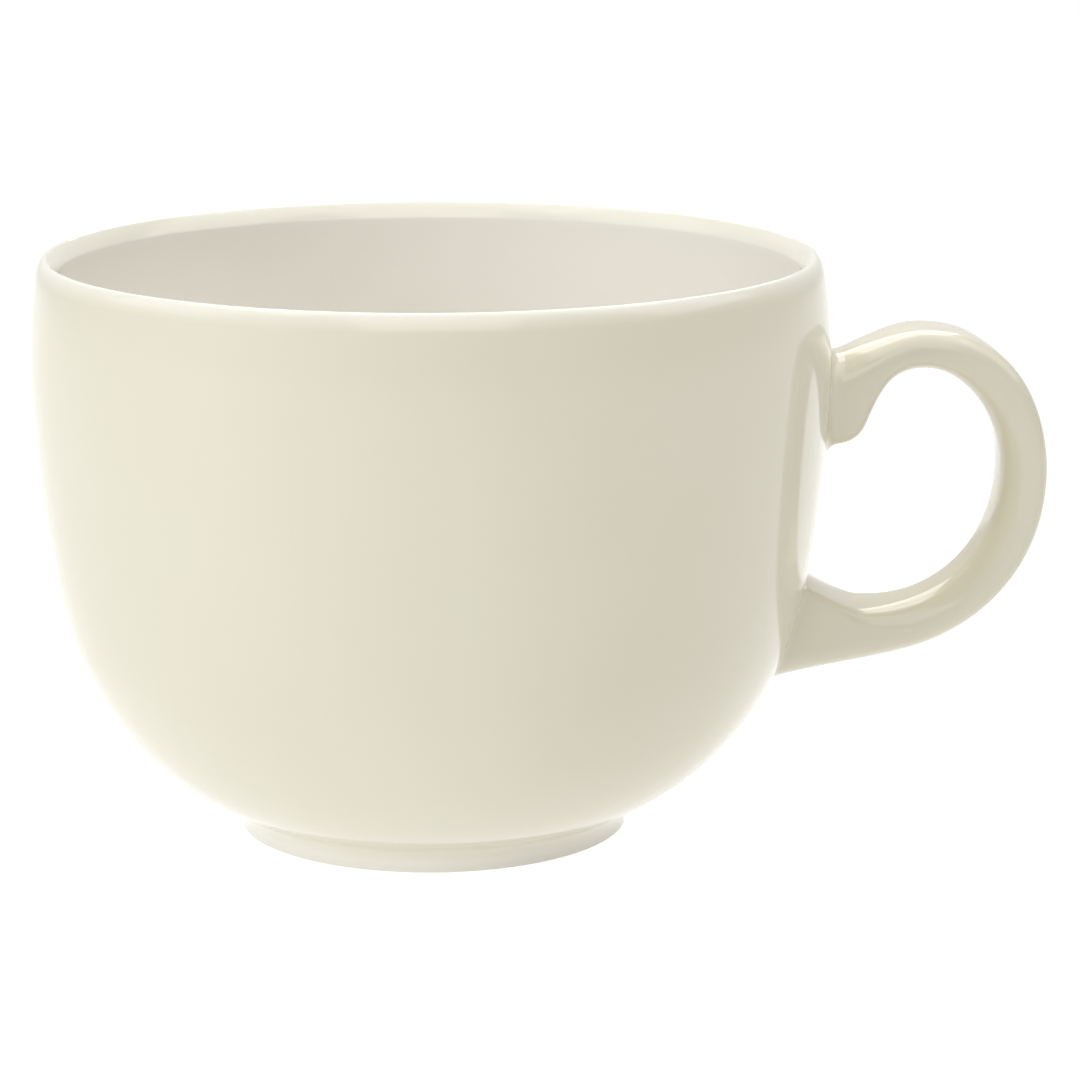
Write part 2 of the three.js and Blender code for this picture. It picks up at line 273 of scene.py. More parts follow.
class MugSettings(PropertyGroup):
    """Everything about the mug that a user may change."""

    bowl: PointerProperty(type=MugBowlSizes)
    foot: PointerProperty(type=MugFootSizes)
    handle: PointerProperty(type=MugHandleSizes)
    glaze: PointerProperty(type=MugGlazeLook)
    stage: PointerProperty(type=MugStage)


# Outlines, in the half-plane of radius and height with the bowl's axis at x = 0


class Knot(NamedTuple):
    """A point that an outline passes, its direction there, and how firmly it keeps that direction."""

    place: Vector
    angle: float
    pull_in: float = 0
    pull_out: float = 0


def at(radius, height):
    """Point of the half-plane."""
    return Vector((radius, 0, height))


def heading(angle):
    """Unit direction, from outwards towards up."""
    return at(cos(angle), sin(angle))


def outline(knots, steps):
    """Points of the smooth curve through the knots."""
    points = [knots[0].place]
    for start, end in zip(knots, knots[1:]):
        chord = (end.place - start.place).length
        after = start.place + heading(start.angle) * start.pull_out * chord
        before = end.place - heading(end.angle) * end.pull_in * chord
        points += interpolate_bezier(start.place, after, before, end.place, steps + 1)[1:]
    return points


def corner(start, tip, end, steps, fullness=ROUND):
    """Points of a rounded corner that would come to a point at the tip."""
    return interpolate_bezier(start, start.lerp(tip, fullness), end.lerp(tip, fullness), end, steps + 1)


def evenly(points, count):
    """The same line as points that lie evenly along it."""
    lengths = [0]
    for start, end in zip(points, points[1:]):
        lengths.append(lengths[-1] + (end - start).length)
    even = [points[0]]
    index = 0
    for step in range(1, count):
        distance = lengths[-1] * step / count
        while lengths[index + 1] < distance:
            index += 1
        part = (distance - lengths[index]) / (lengths[index + 1] - lengths[index])
        even.append(points[index].lerp(points[index + 1], part))
    return even + [points[-1]]


def smoothstep(value, low, high):
    """Share from 0 to 1 that starts and ends gently between two values."""
    part = min(max((value - low) / (high - low), 0), 1)
    return part * part * (3 - 2 * part)


def bowl_wall(bowl, foot, steps=WALL_STEPS):
    """Outside of the bowl, from the edge of its flat underside up to the lip."""
    underside_edge = at(foot.radius + bowl.overhang, bowl.underside)
    belly = at(bowl.widest_radius - bowl.belly_inset, bowl.belly_height)
    widest = at(bowl.widest_radius, bowl.widest_height)
    lip = at(bowl.widest_radius - bowl.lip_inset, bowl.height)
    knots = [
        Knot(underside_edge, bowl.underside_rise, pull_out=0.44),
        Knot(belly, UPWARDS - bowl.belly_lean, pull_in=0.285, pull_out=0.24),
        Knot(widest, UPWARDS, pull_in=0.215, pull_out=0.24),
        Knot(lip, UPWARDS + bowl.lip_lean, pull_in=0.385),
    ]
    return outline(knots, steps)


def inner_wall(bowl, wall):
    """Inside of the bowl, from the lip down to the middle of the well."""
    inside = []
    for before, point, after in zip(wall, wall[1:], wall[2:]):
        if point.z < bowl.well_edge:
            continue
        along = (after - before).normalized()
        thinning = smoothstep(point.z, bowl.height - bowl.lip_taper, bowl.height)
        thickness = bowl.wall_thickness + (bowl.lip_thickness - bowl.wall_thickness) * thinning
        inside.insert(0, point + along.cross(ACROSS) * thickness)
    floor = bowl.underside + bowl.floor_thickness
    last = inside[-1]
    along = last - inside[-2]
    tip = last + along * ((floor - last.z) / along.z)
    well = corner(last, tip, at(bowl.well_radius, floor), WELL_STEPS, PARABOLA)
    return inside + well[1:] + [at(0, floor)]


def bowl_outline(bowl, foot):
    """The bowl's section in two lines, outside up to the top of the lip and from there into the well."""
    wall = bowl_wall(bowl, foot)
    lip_radius = bowl.widest_radius - bowl.lip_inset
    edge_start = next(point for point in reversed(wall) if point.z < bowl.height - bowl.lip_outer_height)
    edge_end = at(lip_radius - bowl.lip_outer_width, bowl.height)
    outer_edge = corner(edge_start, wall[-1], edge_end, LIP_STEPS)
    inside = [point for point in inner_wall(bowl, wall) if point.z < bowl.height - bowl.lip_inner_height]
    tip = at(lip_radius - bowl.lip_thickness, bowl.height)
    inner_edge = corner(tip + at(bowl.lip_inner_width, 0), tip, inside[0], LIP_STEPS, BEVEL)
    outside = [point for point in wall if point.z < edge_start.z]
    return [at(0, bowl.underside), *outside, *outer_edge, inner_edge[0]], [*inner_edge, *inside[1:]]


def wall_point(wall, height):
    """Point on the outside of the bowl at a height."""
    for lower, upper in zip(wall, wall[1:]):
        if lower.z <= height <= upper.z:
            return lower.lerp(upper, (height - lower.z) / (upper.z - lower.z))
    raise ValueError(f"the wall has no height {height}")


# Meshes


def lay_line(bm, points, closed=False):
    """Vertices along a line and the edges between them; returns the edges."""
    verts = [bm.verts.new(point) for point in points]
    pairs = list(zip(verts, verts[1:]))
    if closed:
        pairs.append((verts[-1], verts[0]))
    return [bm.edges.new(pair) for pair in pairs]


def turn_round(bm, edges, steps):
    """Turns a line once about the bowl's axis."""
    verts = {vert for edge in edges for vert in edge.verts}
    bmesh.ops.spin(
        bm,
        geom=[*verts, *edges],
        cent=(0, 0, 0),
        axis=UP,
        dvec=(0, 0, 0),
        angle=tau,
        steps=steps,
        use_merge=True,
        use_duplicate=False,
    )


def finish_piece(bm, name, node, materials, crease=None):
    """Closes the mesh, moves it to the bowl's axis and gives it to the frame in place of a node."""
    bmesh.ops.remove_doubles(bm, verts=bm.verts, dist=WELD)
    bmesh.ops.recalc_face_normals(bm, faces=bm.faces)
    bmesh.ops.translate(bm, verts=bm.verts, vec=(AXIS_X, 0, 0))
    for face in bm.faces:
        face.smooth = True
    open_edges = [edge for edge in bm.edges if not edge.is_manifold]
    if open_edges:
        raise RuntimeError(f"{name} has {len(open_edges)} open edges")
    mesh = bpy.data.meshes.new(name)
    bm.to_mesh(mesh)
    bm.free()
    if crease:
        mesh.set_sharp_from_angle(angle=crease)
    for material in materials:
        mesh.materials.append(material)
    piece = link(name, mesh)
    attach(piece, "root")
    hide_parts(node)


def link(name, data):
    """Object in the scene that shows a mesh, a lamp or a camera."""
    thing = bpy.data.objects.new(name, data)
    bpy.context.scene.collection.objects.link(thing)
    return thing


# Bowl and foot ring


def build_bowl(settings):
    """Bowl turned from its section, with the second material inside and on the lip's bevel."""
    outside, inside = bowl_outline(settings.bowl, settings.foot)
    bm = bmesh.new()
    turn_round(bm, lay_line(bm, inside), BOWL_SEGMENTS)
    for face in bm.faces:
        face.material_index = 1
    turn_round(bm, lay_line(bm, outside), BOWL_SEGMENTS)
    return bm


def build_foot_ring(settings):
    """Foot ring turned from its section, with rounded edges at the table."""
    foot = settings.foot
    outer = foot.radius
    inner = outer - foot.width
    top = settings.bowl.underside + foot.sink
    inner_end = at(inner + foot.inner_rounding, 0)
    outer_start = at(outer - foot.outer_rounding, 0)
    low_inner = corner(at(inner, foot.inner_rounding), at(inner, 0), inner_end, FOOT_EDGE_STEPS)
    low_outer = corner(outer_start, at(outer, 0), at(outer, foot.outer_rounding), FOOT_EDGE_STEPS)
    bm = bmesh.new()
    line = lay_line(bm, [*low_inner, *low_outer, at(outer, top), at(inner, top)], closed=True)
    turn_round(bm, line, FOOT_SEGMENTS)
    return bm


# Handle

# Where the arm's rounding is reached, counted from 0 at the upper root to 3 at the lower one
ARM_PLACE = 2.55

# Share of the strap's thickness that its two roundings may take up together
ROUNDING_ROOM = 0.98


class Station(NamedTuple):
    """A place along the strap: its two edges and its rounding."""

    inner: Vector
    outer: Vector
    rounding: list


def handle_edges(bowl, foot, handle):
    """The strap's outer and inner edges, each in three stretches: to crown, grip and lower root."""
    wall = bowl_wall(bowl, foot)
    start = bowl.widest_radius
    upper_top = handle.crown_height - handle.upper_root_drop
    lug_bottom = upper_top - handle.lug_height
    lower_top = handle.lower_root_top
    lower_bottom = lower_top - handle.lower_root_height

    outer_crown_at = at(start + handle.crown_reach, handle.crown_height)
    outer_grip_at = at(start + handle.reach, handle.grip_height)
    elbow_at = at(start + handle.elbow_reach, lower_bottom + handle.elbow_lift)
    outer_root = Knot(wall_point(wall, upper_top), handle.upper_root_rise, pull_out=0.35)
    outer_crown = Knot(outer_crown_at, OUTWARDS, pull_in=0.29, pull_out=0.52)
    outer_grip = Knot(outer_grip_at, DOWNWARDS, pull_in=0.285, pull_out=0.38)
    elbow = Knot(elbow_at, BACKWARDS + handle.elbow_rise, pull_in=0.395, pull_out=0.33)
    outer_end = Knot(wall_point(wall, lower_bottom), BACKWARDS + handle.lower_root_rise, pull_in=0.33)
    outer = [[outer_root, outer_crown], [outer_crown, outer_grip], [outer_grip, elbow, outer_end]]

    lug_end_at = at(start + handle.lug_reach, lug_bottom + handle.lug_depth)
    inner_crown_at = at(start + handle.crown_reach, handle.crown_height - handle.crown_thickness)
    inner_grip_at = at(start + handle.reach - handle.grip_thickness, handle.grip_height)
    arm_at = at(start + handle.arm_reach, lower_top - handle.arm_dip)
    lug_start = Knot(wall_point(wall, lug_bottom), OUTWARDS, pull_out=0.46)
    lug_end = Knot(lug_end_at, handle.lug_rise, pull_in=0.4, pull_out=0.49)
    inner_crown = Knot(inner_crown_at, OUTWARDS, pull_in=0.41, pull_out=0.29)
    inner_grip = Knot(inner_grip_at, DOWNWARDS, pull_in=0.43, pull_out=0.405)
    arm = Knot(arm_at, BACKWARDS, pull_in=0.435, pull_out=0.2)
    inner_end = Knot(wall_point(wall, lower_top), BACKWARDS - handle.lower_root_flare, pull_in=0.4)
    inner = [[lug_start, lug_end, inner_crown], [inner_crown, inner_grip], [inner_grip, arm, inner_end]]
    return outer, inner


def rounding_at(handle, place):
    """Rounding of the strap at a place, counted from 0 at the upper root to 3 at the lower one."""
    shapes = [
        (0, handle.root_section),
        (1, handle.crown_section),
        (2, handle.grip_section),
        (ARM_PLACE, handle.arm_section),
        (3, handle.lower_section),
    ]
    for (start, first), (end, last) in zip(shapes, shapes[1:]):
        if place <= end:
            part = smoothstep(place, start, end)
            return [low + (high - low) * part for low, high in zip(first, last)]
    raise ValueError(f"the strap has no place {place}")


def handle_stations(bowl, foot, handle):
    """Stations from the upper root to the lower one, with one more inside the wall at each end."""
    outer, inner = handle_edges(bowl, foot, handle)
    stations = []
    for stretch, count in enumerate(STRETCH_STEPS):
        outer_points = evenly(outline(outer[stretch], STRAP_EDGE_STEPS), count)
        inner_points = evenly(outline(inner[stretch], STRAP_EDGE_STEPS), count)
        for step in range(1 if stretch else 0, count + 1):
            rounding = rounding_at(handle, stretch + step / count)
            stations.append(Station(inner_points[step], outer_points[step], rounding))
    inwards = at(-handle.root_depth, 0)
    for end, place in ((stations[0], 0), (stations[-1], len(stations) + 1)):
        stations.insert(place, end._replace(inner=end.inner + inwards, outer=end.outer + inwards))
    return stations


def quarter_of(place):
    """Which quarter of the plane a place is in, counted from +X towards +Y."""
    if place.y > 0:
        return 0 if place.x > 0 else 1
    return 2 if place.x < 0 else 3


def strap_ring(bm, station, width):
    """Rounded rectangle of vertices across the strap; returns its vertices in order."""
    ring = bmesh.ops.create_circle(
        bm,
        segments=SECTION_POINTS,
        radius=1,
        matrix=Matrix.Rotation(pi / SECTION_POINTS, 4, "Z"),
    )["verts"]
    thickness = (station.outer - station.inner).length
    inner_depth, inner_width, outer_depth, outer_width = station.rounding
    room = min(1, ROUNDING_ROOM * thickness / (inner_depth + outer_depth))
    quarters = [[vert for vert in ring if quarter_of(vert.co) == side] for side in range(4)]
    for side, verts in enumerate(quarters):
        outer = side in (0, 3)
        depth = room * (outer_depth if outer else inner_depth)
        round_width = outer_width if outer else inner_width
        shift_x = thickness / 2 - depth
        shift_y = width / 2 - round_width
        bmesh.ops.scale(bm, verts=verts, vec=(depth, round_width, 1))
        bmesh.ops.translate(
            bm,
            verts=verts,
            vec=(shift_x if outer else -shift_x, shift_y if side in (0, 1) else -shift_y, 0),
        )
    through = (station.outer - station.inner).normalized()
    turn = Matrix((through, ACROSS, through.cross(ACROSS))).transposed().to_4x4()
    place = Matrix.Translation((station.outer + station.inner) / 2)
    bmesh.ops.transform(bm, matrix=place @ turn, verts=ring)
    return ring


def ring_edges(ring):
    """The edges that join the vertices of a ring."""
    inside = set(ring)
    touching = {edge for vert in ring for edge in vert.link_edges}
    return [edge for edge in touching if set(edge.verts) <= inside]


def build_handle(settings):
    """Strap bridged from ring to ring, with its ends closed inside the wall."""
    bm = bmesh.new()
    loops = []
    for station in handle_stations(settings.bowl, settings.foot, settings.handle):
        ring = strap_ring(bm, station, settings.handle.width)
        loops.append(ring_edges(ring))
    for before, after in zip(loops, loops[1:]):
        bmesh.ops.bridge_loops(bm, edges=before + after)
    for loop in (loops[0], loops[-1]):
        bmesh.ops.edgeloop_fill(bm, edges=loop)
    return bm


# Slip squeezed out at the joints, under the glaze

# Stations from an end of the strap that its slip can reach
ROOT_STATIONS = 8

# How deep a fillet's hidden side lies, as a share of its reach
BURIED = 0.4

# Halvings that close in on the wall, and the step that its lean is measured over
CROSSING_HALVINGS = 30
LEAN_STEP = 0.2 * MM


def wall_distance(wall, place):
    """How far a place stands out from the wall, measured outwards from the bowl's axis."""
    return Vector((place.x, place.y)).length - wall_point(wall, place.z).x


def wall_crossing(wall, inside, outside):
    """Where the line from a place inside the wall to one outside it meets the wall."""
    low, high = 0.0, 1.0
    for _ in range(CROSSING_HALVINGS):
        middle = (low + high) / 2
        if wall_distance(wall, inside.lerp(outside, middle)) < 0:
            low = middle
        else:
            high = middle
    return inside.lerp(outside, high)


def wall_normal(wall, place):
    """Direction square to the wall at a place on it."""
    upper = wall_point(wall, place.z + LEAN_STEP)
    lower = wall_point(wall, place.z - LEAN_STEP)
    outwards = Vector((place.x, place.y, 0)).normalized()
    lean = (upper.x - lower.x) / (2 * LEAN_STEP)
    return (outwards - UP * lean).normalized()


def onto_wall(wall, place):
    """The place moved to the wall, at its own height and side."""
    scale = wall_point(wall, place.z).x / Vector((place.x, place.y)).length
    return Vector((place.x * scale, place.y * scale, place.z))


def walk(points, distance):
    """Point at a distance along a line of points."""
    for start, end in zip(points, points[1:]):
        step = (end - start).length
        if distance <= step:
            return start.lerp(end, distance / step)
        distance -= step
    raise ValueError("the line is shorter than the distance")


def build_root_fillet(settings, upper):
    """Concave ring of slip where one end of the handle meets the wall."""
    handle = settings.handle
    wall = bowl_wall(settings.bowl, settings.foot)
    stations = handle_stations(settings.bowl, settings.foot, handle)
    if not upper:
        stations.reverse()
    near = stations[:ROOT_STATIONS]
    scratch = bmesh.new()
    rings = [[vert.co.copy() for vert in strap_ring(scratch, end, handle.width)] for end in near]
    scratch.free()
    middle = sum(rings[0], Vector()) / len(rings[0])
    reach = handle.upper_fillet if upper else handle.lower_fillet
    rows = [[] for _ in range(FILLET_STEPS + 2)]
    for spoke in zip(*rings):
        first = next(index for index, place in enumerate(spoke) if wall_distance(wall, place) > 0)
        seam = wall_crossing(wall, spoke[first - 1], spoke[first])
        normal = wall_normal(wall, seam)
        away = seam - middle
        sideways = (away - normal * away.dot(normal)).normalized()
        on_handle = walk([seam, *spoke[first:]], reach)
        on_wall = onto_wall(wall, seam + sideways * reach)
        for row, point in zip(rows, corner(on_handle, seam, on_wall, FILLET_STEPS, HOLLOW)):
            row.append(point)
        rows[-1].append(seam - (normal + sideways) * reach * BURIED)
    bm = bmesh.new()
    loops = [lay_line(bm, row, closed=True) for row in rows]
    for before, after in zip(loops, loops[1:] + loops[:1]):
        bmesh.ops.bridge_loops(bm, edges=before + after)
    return bm


def build_foot_fillet(settings):
    """Two concave rings of slip, outside and inside the foot ring."""
    bowl, foot = settings.bowl, settings.foot
    wall = bowl_wall(bowl, foot, FINE_WALL_STEPS)
    outer_tip = at(foot.radius, bowl.underside - bowl.overhang * tan(bowl.underside_rise))
    outer_end = next(point for point in wall if point.x > foot.radius + foot.outer_fillet)
    inner_tip = at(foot.radius - foot.width, bowl.underside)
    inner_end = inner_tip - at(foot.inner_fillet, 0)
    bm = bmesh.new()
    for tip, end, inwards in ((outer_tip, outer_end, -1), (inner_tip, inner_end, 1)):
        low = tip - at(0, (end - tip).length)
        hidden = tip + at(inwards * foot.sink, foot.sink)
        line = lay_line(bm, [*corner(low, tip, end, FILLET_STEPS), hidden], closed=True)
        turn_round(bm, line, FOOT_SEGMENTS)
    return bm


# Materials

CERAMIC_IOR = 1.45

# Noise patterns in clouds per metre, and the range that their values seldom leave
DRIFT_SCALE = 26
RIPPLE_SCALE = 210
WANDER_SCALE = 160
GRAIN_SCALE = 2600
NOISE_LOW = 0.3
NOISE_HIGH = 0.7

# Glaze: how much rougher it gets where it drifts, and its ripple
GLOSS_DRIFT = 0.05
RIPPLE_STRENGTH = 0.12
RIPPLE_DEPTH = 0.04 * MM

# Heights over which the painted light comes in towards the top of the lip, outside and on the bevel, and
# dies away above the foot
LIP_FADE = 2.2 * MM
LINER_FADE = 0.6 * MM
FOOT_FADE_LOW = 1.6 * MM
FOOT_FADE_HIGH = 3.8 * MM

# How far the edge of the glaze wanders up and down at the foot, and half the width of its blur
LINE_WANDER = 0.06 * MM
LINE_BLUR = 0.03 * MM

# Bare clay: the range of the noise that shows as specks, its roughness and its grain
SPECK_LOW = 0.5
SPECK_HIGH = 0.75
CLAY_SMOOTHEST = 0.75
CLAY_ROUGHEST = 0.92
GRAIN_STRENGTH = 0.5
GRAIN_DEPTH = 0.05 * MM


def new_material(name):
    """An empty node material; returns it with its tree."""
    material = bpy.data.materials.new(name)
    material.use_nodes = True
    material.node_tree.nodes.clear()
    return material, material.node_tree


def object_place(tree):
    return tree.nodes.new("ShaderNodeTexCoord").outputs["Object"]


def height_above_table(tree):
    split = tree.nodes.new("ShaderNodeSeparateXYZ")
    tree.links.new(object_place(tree), split.inputs["Vector"])
    return split.outputs["Z"]


def noise(tree, place, scale, detail):
    """Cloudy pattern, with its scale in clouds per metre."""
    clouds = tree.nodes.new("ShaderNodeTexNoise")
    clouds.inputs["Scale"].default_value = scale
    clouds.inputs["Detail"].default_value = detail
    tree.links.new(place, clouds.inputs["Vector"])
    return clouds.outputs["Fac"]


def spread(tree, value, low, high, to_low, to_high):
    """Value taken from one range to another, and kept inside it."""
    node = tree.nodes.new("ShaderNodeMapRange")
    node.inputs["From Min"].default_value = low
    node.inputs["From Max"].default_value = high
    node.inputs["To Min"].default_value = to_low
    node.inputs["To Max"].default_value = to_high
    tree.links.new(value, node.inputs["Value"])
    return node.outputs["Result"]


def tint_between(tree, amount, first, second):
    """Colour that moves from the first to the second with the amount."""
    mix = tree.nodes.new("ShaderNodeMix")
    mix.data_type = "RGBA"
    mix.inputs["A"].default_value = (*first, 1)
    mix.inputs["B"].default_value = (*second, 1)
    tree.links.new(amount, mix.inputs["Factor"])
    return mix.outputs["Result"]


def paler(tree, tint, edge, pale):
    """Tint that gives way to a pale colour, painted light where a part catches more light."""
    mix = tree.nodes.new("ShaderNodeMix")
    mix.data_type = "RGBA"
    mix.inputs["B"].default_value = (*pale, 1)
    tree.links.new(tint, mix.inputs["A"])
    tree.links.new(edge, mix.inputs["Factor"])
    return mix.outputs["Result"]


def uneven(tree, height, strength, depth):
    """Normal of a surface whose height follows a pattern."""
    bump = tree.nodes.new("ShaderNodeBump")
    bump.inputs["Strength"].default_value = strength
    bump.inputs["Distance"].default_value = depth
    tree.links.new(height, bump.inputs["Height"])
    return bump.outputs["Normal"]


def shader(tree, tint, roughness, normal):
    surface = tree.nodes.new("ShaderNodeBsdfPrincipled")
    surface.inputs["IOR"].default_value = CERAMIC_IOR
    tree.links.new(tint, surface.inputs["Base Color"])
    tree.links.new(roughness, surface.inputs["Roughness"])
    tree.links.new(normal, surface.inputs["Normal"])
    return surface.outputs["BSDF"]


def show(tree, surface):
    output = tree.nodes.new("ShaderNodeOutputMaterial")
    tree.links.new(surface, output.inputs["Surface"])


def glaze_surface(tree, thin, thick, smoothest, edge=None, pale=None):
    """Glossy glaze whose colour and gloss drift a little, with a faint ripple in its surface."""
    place = object_place(tree)
    drift = noise(tree, place, DRIFT_SCALE, detail=3)
    tint = tint_between(tree, spread(tree, drift, NOISE_LOW, NOISE_HIGH, 0, 1), thin, thick)
    # Where given, a pale colour is painted over the glaze as painted light
    if edge:
        tint = paler(tree, tint, edge, pale)
    roughness = spread(tree, drift, NOISE_LOW, NOISE_HIGH, smoothest, smoothest + GLOSS_DRIFT)
    ripple = noise(tree, place, RIPPLE_SCALE, detail=2)
    return shader(tree, tint, roughness, uneven(tree, ripple, RIPPLE_STRENGTH, RIPPLE_DEPTH))


def clay_surface(tree, look):
    """Matt fired clay with fine grains."""
    grain = noise(tree, object_place(tree), GRAIN_SCALE, detail=4)
    specks = spread(tree, grain, SPECK_LOW, SPECK_HIGH, 0, 1)
    tint = tint_between(tree, specks, look.clay, look.clay_speck)
    roughness = spread(tree, grain, NOISE_LOW, NOISE_HIGH, CLAY_SMOOTHEST, CLAY_ROUGHEST)
    return shader(tree, tint, roughness, uneven(tree, grain, GRAIN_STRENGTH, GRAIN_DEPTH))


def cream_coat(look):
    """Glaze outside, painted paler up towards the lip as painted light where the rim's top faces the lamps
    above.
    """
    material, tree = new_material("cream_coat")
    edge = spread(tree, height_above_table(tree), look.lip_line, look.lip_line + LIP_FADE, 0, 1)
    show(tree, glaze_surface(tree, look.cream, look.thick, look.gloss, edge, look.lip))
    return material


def shaded_handle_coat(look):
    """Glaze on the handle and its slip, a little darker than the bowl's: painted shade where the bowl
    keeps the key lamp off the handle.
    """
    material, tree = new_material("shaded_handle_coat")
    show(tree, glaze_surface(tree, look.handle, look.handle_thick, look.gloss))
    return material


def liner_coat(look):
    """Whiter glaze inside, which turns on the bevel to the lip's paler colour, painted light where the
    bevel faces the lamps above.
    """
    material, tree = new_material("liner_coat")
    edge = spread(tree, height_above_table(tree), look.lip_line, look.lip_line + LINER_FADE, 0, 1)
    show(tree, glaze_surface(tree, look.liner, look.liner_thick, look.gloss, edge, look.lip))
    return material


def foot_coat(look):
    """Glaze painted paler towards the table as painted light from the glowing table, ending just above the
    table with bare clay below.
    """
    material, tree = new_material("foot_coat")
    height = height_above_table(tree)
    # Painted light: full at the bottom of the foot, fading out up to just above the crease
    edge = spread(tree, height, FOOT_FADE_LOW, FOOT_FADE_HIGH, 1, 0)
    glaze = glaze_surface(tree, look.cream, look.thick, look.gloss, edge, look.foot)
    clay = clay_surface(tree, look)
    pattern = noise(tree, object_place(tree), WANDER_SCALE, detail=3)
    wander = spread(tree, pattern, NOISE_LOW, NOISE_HIGH, -LINE_WANDER, LINE_WANDER)
    wavy = tree.nodes.new("ShaderNodeMath")
    wavy.operation = "ADD"
    tree.links.new(height, wavy.inputs[0])
    tree.links.new(wander, wavy.inputs[1])
    line = look.glaze_line
    covered = spread(tree, wavy.outputs["Value"], line - LINE_BLUR, line + LINE_BLUR, 0, 1)
    mix = tree.nodes.new("ShaderNodeMixShader")
    tree.links.new(covered, mix.inputs["Fac"])
    tree.links.new(clay, mix.inputs[1])
    tree.links.new(glaze, mix.inputs[2])
    show(tree, mix.outputs["Shader"])
    return material


def made_once(recipe, look):
    """The finish that a recipe makes, made the first time it is asked for."""
    return bpy.data.materials.get(recipe.__name__) or recipe(look)


# Stage, in metres

# Middle and width of the panel low at the left and of the one above
KEY_PLACE = Vector((-1.1, -0.77, 0.22))
KEY_WIDTH = 0.7
TOP_PLACE = Vector((0, 0.1, 1))
TOP_WIDTH = 1.1

# The four panels round the mug hang as high as they are far out
SIDE_REACH = 0.8
SIDE_WIDTH = 0.8

# Height on the mug that the lamps face
AIM_HEIGHT = 40 * MM

SENSOR_MILLIMETRES = 36
FLOOR_REACH = 4


def place_camera(stage):
    data = bpy.data.cameras.new("camera")
    data.lens = stage.lens
    data.sensor_width = SENSOR_MILLIMETRES
    data.clip_start = 0.01
    data.clip_end = 20
    camera = link("camera", data)
    stand = Matrix.Rotation(-stage.camera_swing, 4, "Z")
    back = stand @ Vector((0, -stage.camera_distance, stage.camera_height))
    camera.location = Vector((AXIS_X, 0, 0)) + back
    view = Vector(
        (
            sin(stage.camera_yaw) * cos(stage.camera_pitch),
            cos(stage.camera_yaw) * cos(stage.camera_pitch),
            -sin(stage.camera_pitch),
        )
    )
    camera.rotation_euler = (stand @ view).to_track_quat("-Z", "Y").to_euler()
    bpy.context.scene.camera = camera


def hang_lamp(name, place, width, watts, tint):
    """A flat panel of light that faces the mug; returns its object."""
    data = bpy.data.lights.new(name, "AREA")
    data.shape = "SQUARE"
    data.size = width
    data.energy = watts
    data.color = tint
    lamp = link(name, data)
    lamp.location = place
    lamp.rotation_euler = (Vector((AXIS_X, 0, AIM_HEIGHT)) - place).to_track_quat("-Z", "Y").to_euler()
    return lamp


def hang_lamps(stage):
    key = hang_lamp("key_lamp", KEY_PLACE, KEY_WIDTH, stage.key_power, stage.daylight)
    # A screen would spread this panel's light, so its outline doesn't show in the glaze
    key.visible_glossy = False
    hang_lamp("top_lamp", TOP_PLACE, TOP_WIDTH, stage.top_power, stage.lamplight)
    sides = (
        ("left_lamp", (-1, 0, 1), stage.left_power),
        ("front_lamp", (0, -1, 1), stage.front_power),
        ("back_lamp", (0, 1, 1), stage.back_power),
        ("right_lamp", (1, 0, 1), stage.right_power),
    )
    for name, side, watts in sides:
        hang_lamp(name, Vector(side) * SIDE_REACH, SIDE_WIDTH, watts, stage.lamplight)


def shown_rays(tree):
    """One for rays that the eye, a mirror or glass sends out, and nothing for the rest."""
    rays = tree.nodes.new("ShaderNodeLightPath")
    total = rays.outputs["Is Camera Ray"]
    for name in ("Is Glossy Ray", "Is Transmission Ray"):
        either = tree.nodes.new("ShaderNodeMath")
        either.operation = "MAXIMUM"
        tree.links.new(total, either.inputs[0])
        tree.links.new(rays.outputs[name], either.inputs[1])
        total = either.outputs["Value"]
    return total


def lay_floor(stage):
    """Table that glows white to the eye, and less to the mug."""
    bm = bmesh.new()
    bmesh.ops.create_grid(bm, x_segments=1, y_segments=1, size=FLOOR_REACH)
    mesh = bpy.data.meshes.new("floor")
    bm.to_mesh(mesh)
    bm.free()
    material, tree = new_material("pale_floor")
    board = tree.nodes.new("ShaderNodeBsdfDiffuse")
    board.inputs["Color"].default_value = (*stage.floor, 1)
    white = tree.nodes.new("ShaderNodeEmission")
    glow = spread(tree, shown_rays(tree), 0, 1, stage.floor_glow, stage.floor_white)
    tree.links.new(glow, white.inputs["Strength"])
    both = tree.nodes.new("ShaderNodeAddShader")
    tree.links.new(board.outputs["BSDF"], both.inputs[0])
    tree.links.new(white.outputs["Emission"], both.inputs[1])
    show(tree, both.outputs["Shader"])
    mesh.materials.append(material)
    link("floor", mesh)


def paint_room(stage):
    """Room that is white to the eye and in reflections, and lights the mug only as far as it is set to."""
    world = bpy.data.worlds.new("white_room")
    bpy.context.scene.world = world
    world.use_nodes = True
    tree = world.node_tree
    tree.nodes.clear()
    strength = spread(tree, shown_rays(tree), 0, 1, stage.ambient, 1)
    room = tree.nodes.new("ShaderNodeBackground")
    tree.links.new(strength, room.inputs["Strength"])
    output = tree.nodes.new("ShaderNodeOutputWorld")
    tree.links.new(room.outputs["Background"], output.inputs["Surface"])


# Operators


class MUG_OT_bowl(Operator):
    """Turns the bowl with its lip and well"""

    bl_idname = "mug.bowl"
    bl_label = "Make Bowl"

    def execute(self, context):
        settings = context.scene.mug
        glazes = [made_once(cream_coat, settings.glaze), made_once(liner_coat, settings.glaze)]
        finish_piece(build_bowl(settings), "glazed_bowl", "bowl", glazes, LIP_CREASE)
        return {"FINISHED"}


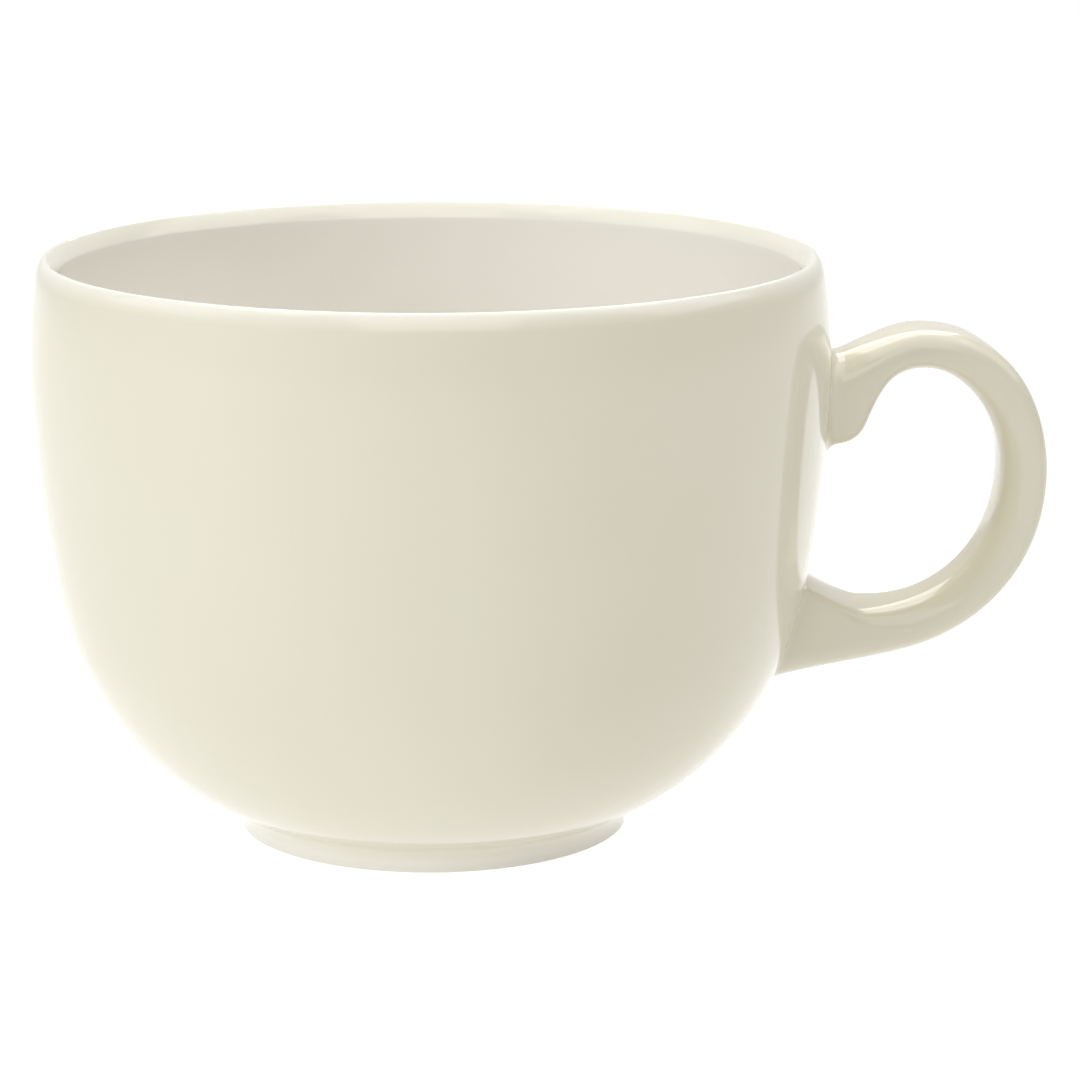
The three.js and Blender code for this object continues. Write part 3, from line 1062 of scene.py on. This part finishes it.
class MUG_OT_foot_ring(Operator):
    """Turns the foot ring"""

    bl_idname = "mug.foot_ring"
    bl_label = "Make Foot Ring"

    def execute(self, context):
        settings = context.scene.mug
        ring = build_foot_ring(settings)
        glaze = made_once(foot_coat, settings.glaze)
        finish_piece(ring, "glazed_foot_ring", "foot_ring", [glaze], EDGE_CREASE)
        return {"FINISHED"}


class MUG_OT_handle(Operator):
    """Sweeps the handle's strap from root to root"""

    bl_idname = "mug.handle"
    bl_label = "Make Handle"

    def execute(self, context):
        settings = context.scene.mug
        glaze = made_once(shaded_handle_coat, settings.glaze)
        finish_piece(build_handle(settings), "glazed_handle", "handle", [glaze])
        return {"FINISHED"}


class MUG_OT_slip(Operator):
    """Lays the slip that shows at the joints"""

    bl_idname = "mug.slip"
    bl_label = "Lay Slip"

    def execute(self, context):
        settings = context.scene.mug
        handle_glaze = [made_once(shaded_handle_coat, settings.glaze)]
        foot_glaze = [made_once(foot_coat, settings.glaze)]
        upper = build_root_fillet(settings, upper=True)
        lower = build_root_fillet(settings, upper=False)
        foot = build_foot_fillet(settings)
        fillets = (
            (upper, "upper_slip_fillet", "upper_handle_slip", handle_glaze),
            (lower, "lower_slip_fillet", "lower_handle_slip", handle_glaze),
            (foot, "foot_slip_fillet", "foot_slip", foot_glaze),
        )
        for bm, name, node, glaze in fillets:
            finish_piece(bm, name, node, glaze, EDGE_CREASE)
        return {"FINISHED"}


class MUG_OT_stage(Operator):
    """Sets the camera, the lamps, the floor and the white room"""

    bl_idname = "mug.stage"
    bl_label = "Set Stage"

    def execute(self, context):
        stage = context.scene.mug.stage
        place_camera(stage)
        hang_lamps(stage)
        lay_floor(stage)
        paint_room(stage)
        context.scene.view_settings.view_transform = "Standard"
        return {"FINISHED"}


STEPS = (MUG_OT_bowl, MUG_OT_foot_ring, MUG_OT_handle, MUG_OT_slip, MUG_OT_stage)


class MUG_PT_panel(Panel):
    """Lists the steps that make the mug"""

    bl_idname = "MUG_PT_panel"
    bl_label = "Coffee Mug"
    bl_space_type = "VIEW_3D"
    bl_region_type = "UI"
    bl_category = "Mug"

    def draw(self, context):
        for step in STEPS:
            self.layout.operator(step.bl_idname)


GROUPS = (MugBowlSizes, MugFootSizes, MugHandleSizes, MugGlazeLook, MugStage, MugSettings)
CLASSES = (*GROUPS, *STEPS, MUG_PT_panel)


def register():
    for cls in CLASSES:
        bpy.utils.register_class(cls)
    bpy.types.Scene.mug = PointerProperty(type=MugSettings)


def unregister():
    del bpy.types.Scene.mug
    for cls in reversed(CLASSES):
        bpy.utils.unregister_class(cls)


def main():
    register()
    bpy.ops.mug.bowl()
    bpy.ops.mug.foot_ring()
    bpy.ops.mug.handle()
    bpy.ops.mug.slip()
    bpy.ops.mug.stage()


if __name__ == "__main__":
    main()
